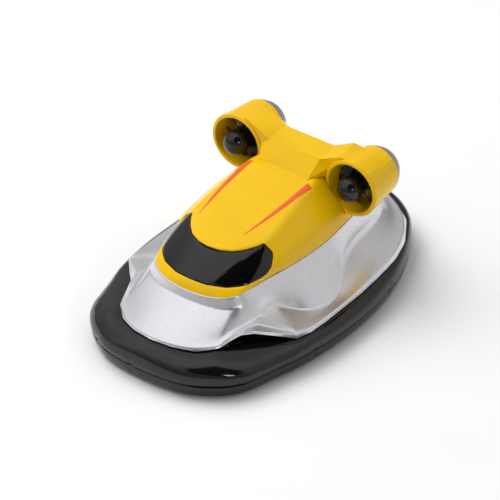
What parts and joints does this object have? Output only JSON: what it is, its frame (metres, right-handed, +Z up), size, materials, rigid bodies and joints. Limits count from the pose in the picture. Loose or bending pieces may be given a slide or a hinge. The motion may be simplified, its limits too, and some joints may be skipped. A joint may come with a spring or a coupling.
{
  "type": "rc boat",
  "caption": "Small radio-controlled hovercraft-style boat: black hull, silver deck, yellow canopy with ducted fans, and propellers under the stern.",
  "frame": {"origin": "middle of the hull's plan, on the plane of the flat bottom", "axes": "+Z up, -Y towards the bow, +X to port"},
  "size_m": [0.0816, 0.13, 0.0513],
  "materials": {
    "hull_black": "gloss black moulded plastic",
    "skirt_black": "gloss black moulded plastic",
    "seal_rubber": "soft matt rubber",
    "deck_silver": "silver metallic-flake paint on plastic",
    "canopy_yellow": "gloss yellow moulded plastic",
    "windshield_black": "high-gloss black plastic",
    "fan_black": "gloss dark plastic",
    "bracket_black": "matt black plastic",
    "propeller_black": "satin black plastic",
    "nozzle_grey": "satin grey paint on plastic",
    "shaft_steel": "ground steel",
    "screw_steel": "zinc-plated steel",
    "motor_can": "drawn steel can",
    "shield_can": "tinned steel",
    "stern_tube_brass": "drawn brass",
    "board_green": "green solder mask",
    "cell_wrap": "blue shrink wrap",
    "wire_red": "red insulation"
  },
  "bodies": {
    "boat": {"lower_hull": "hull_black", "skirt": "skirt_black", "hull_seal": "seal_rubber", "deck": "deck_silver", "canopy": "canopy_yellow", "windshield": "windshield_black", "duct_bridge": "canopy_yellow", "motor_bracket": "bracket_black", "battery": "cell_wrap", "circuit_board": "board_green", "radio_module": "shield_can", "power_switch": "shield_can", "charge_socket": "bracket_black", "battery_lead": "wire_red", "charge_lead": "wire_red", "port_exhaust_nozzle": "nozzle_grey", "port_fan_stator": "bracket_black", "port_fan_pin": "shaft_steel", "port_motor": "motor_can", "port_stern_tube": "stern_tube_brass", "port_propeller_guard": "bracket_black", "port_motor_lead": "wire_red", "port_water_contact": "shaft_steel", "port_bracket_screw": "screw_steel", "port_board_screw": "screw_steel", "port_hull_screw_1": "screw_steel", "port_hull_screw_2": "screw_steel", "port_hull_screw_3": "screw_steel", "port_hull_screw_4": "screw_steel", "starboard_exhaust_nozzle": "nozzle_grey", "starboard_fan_stator": "bracket_black", "starboard_fan_pin": "shaft_steel", "starboard_motor": "motor_can", "starboard_stern_tube": "stern_tube_brass", "starboard_propeller_guard": "bracket_black", "starboard_motor_lead": "wire_red", "starboard_water_contact": "shaft_steel", "starboard_bracket_screw": "screw_steel", "starboard_board_screw": "screw_steel", "starboard_hull_screw_1": "screw_steel", "starboard_hull_screw_2": "screw_steel", "starboard_hull_screw_3": "screw_steel", "starboard_hull_screw_4": "screw_steel"},
    "port_fan": {"port_fan_rotor": "fan_black"},
    "starboard_fan": {"starboard_fan_rotor": "fan_black"},
    "port_drive": {"port_motor_shaft": "shaft_steel", "port_shaft_coupling": "seal_rubber", "port_propeller_shaft": "shaft_steel", "port_propeller": "propeller_black"},
    "starboard_drive": {"starboard_motor_shaft": "shaft_steel", "starboard_shaft_coupling": "seal_rubber", "starboard_propeller_shaft": "shaft_steel", "starboard_propeller": "propeller_black"},
    "switch": {"switch_knob": "bracket_black"},
    "plug": {"charge_plug": "seal_rubber"}
  },
  "joints": [
    {"name": "port_fan_spin", "type": "hinge", "parent": "boat", "child": "port_fan", "pos_m": [0.0235, 0.0225, 0.041], "axis": [0, 1, 0], "continuous": true},
    {"name": "starboard_fan_spin", "type": "hinge", "parent": "boat", "child": "starboard_fan", "pos_m": [-0.0235, 0.0225, 0.041], "axis": [0, 1, 0], "continuous": true},
    {"name": "port_drive_spin", "type": "hinge", "parent": "boat", "child": "port_drive", "pos_m": [0.014, 0.03, 0.0064], "axis": [0, 1, 0], "continuous": true},
    {"name": "starboard_drive_spin", "type": "hinge", "parent": "boat", "child": "starboard_drive", "pos_m": [-0.014, 0.03, 0.0064], "axis": [0, 1, 0], "continuous": true},
    {"name": "switch_slide", "type": "slide", "parent": "boat", "child": "switch", "axis": [0, 1, 0], "range_m": [0, 0.003]},
    {"name": "plug_pull", "type": "slide", "parent": "boat", "child": "plug", "axis": [0, 0.9323, 0.3616], "range_m": [0, 0.004]}
  ]
}
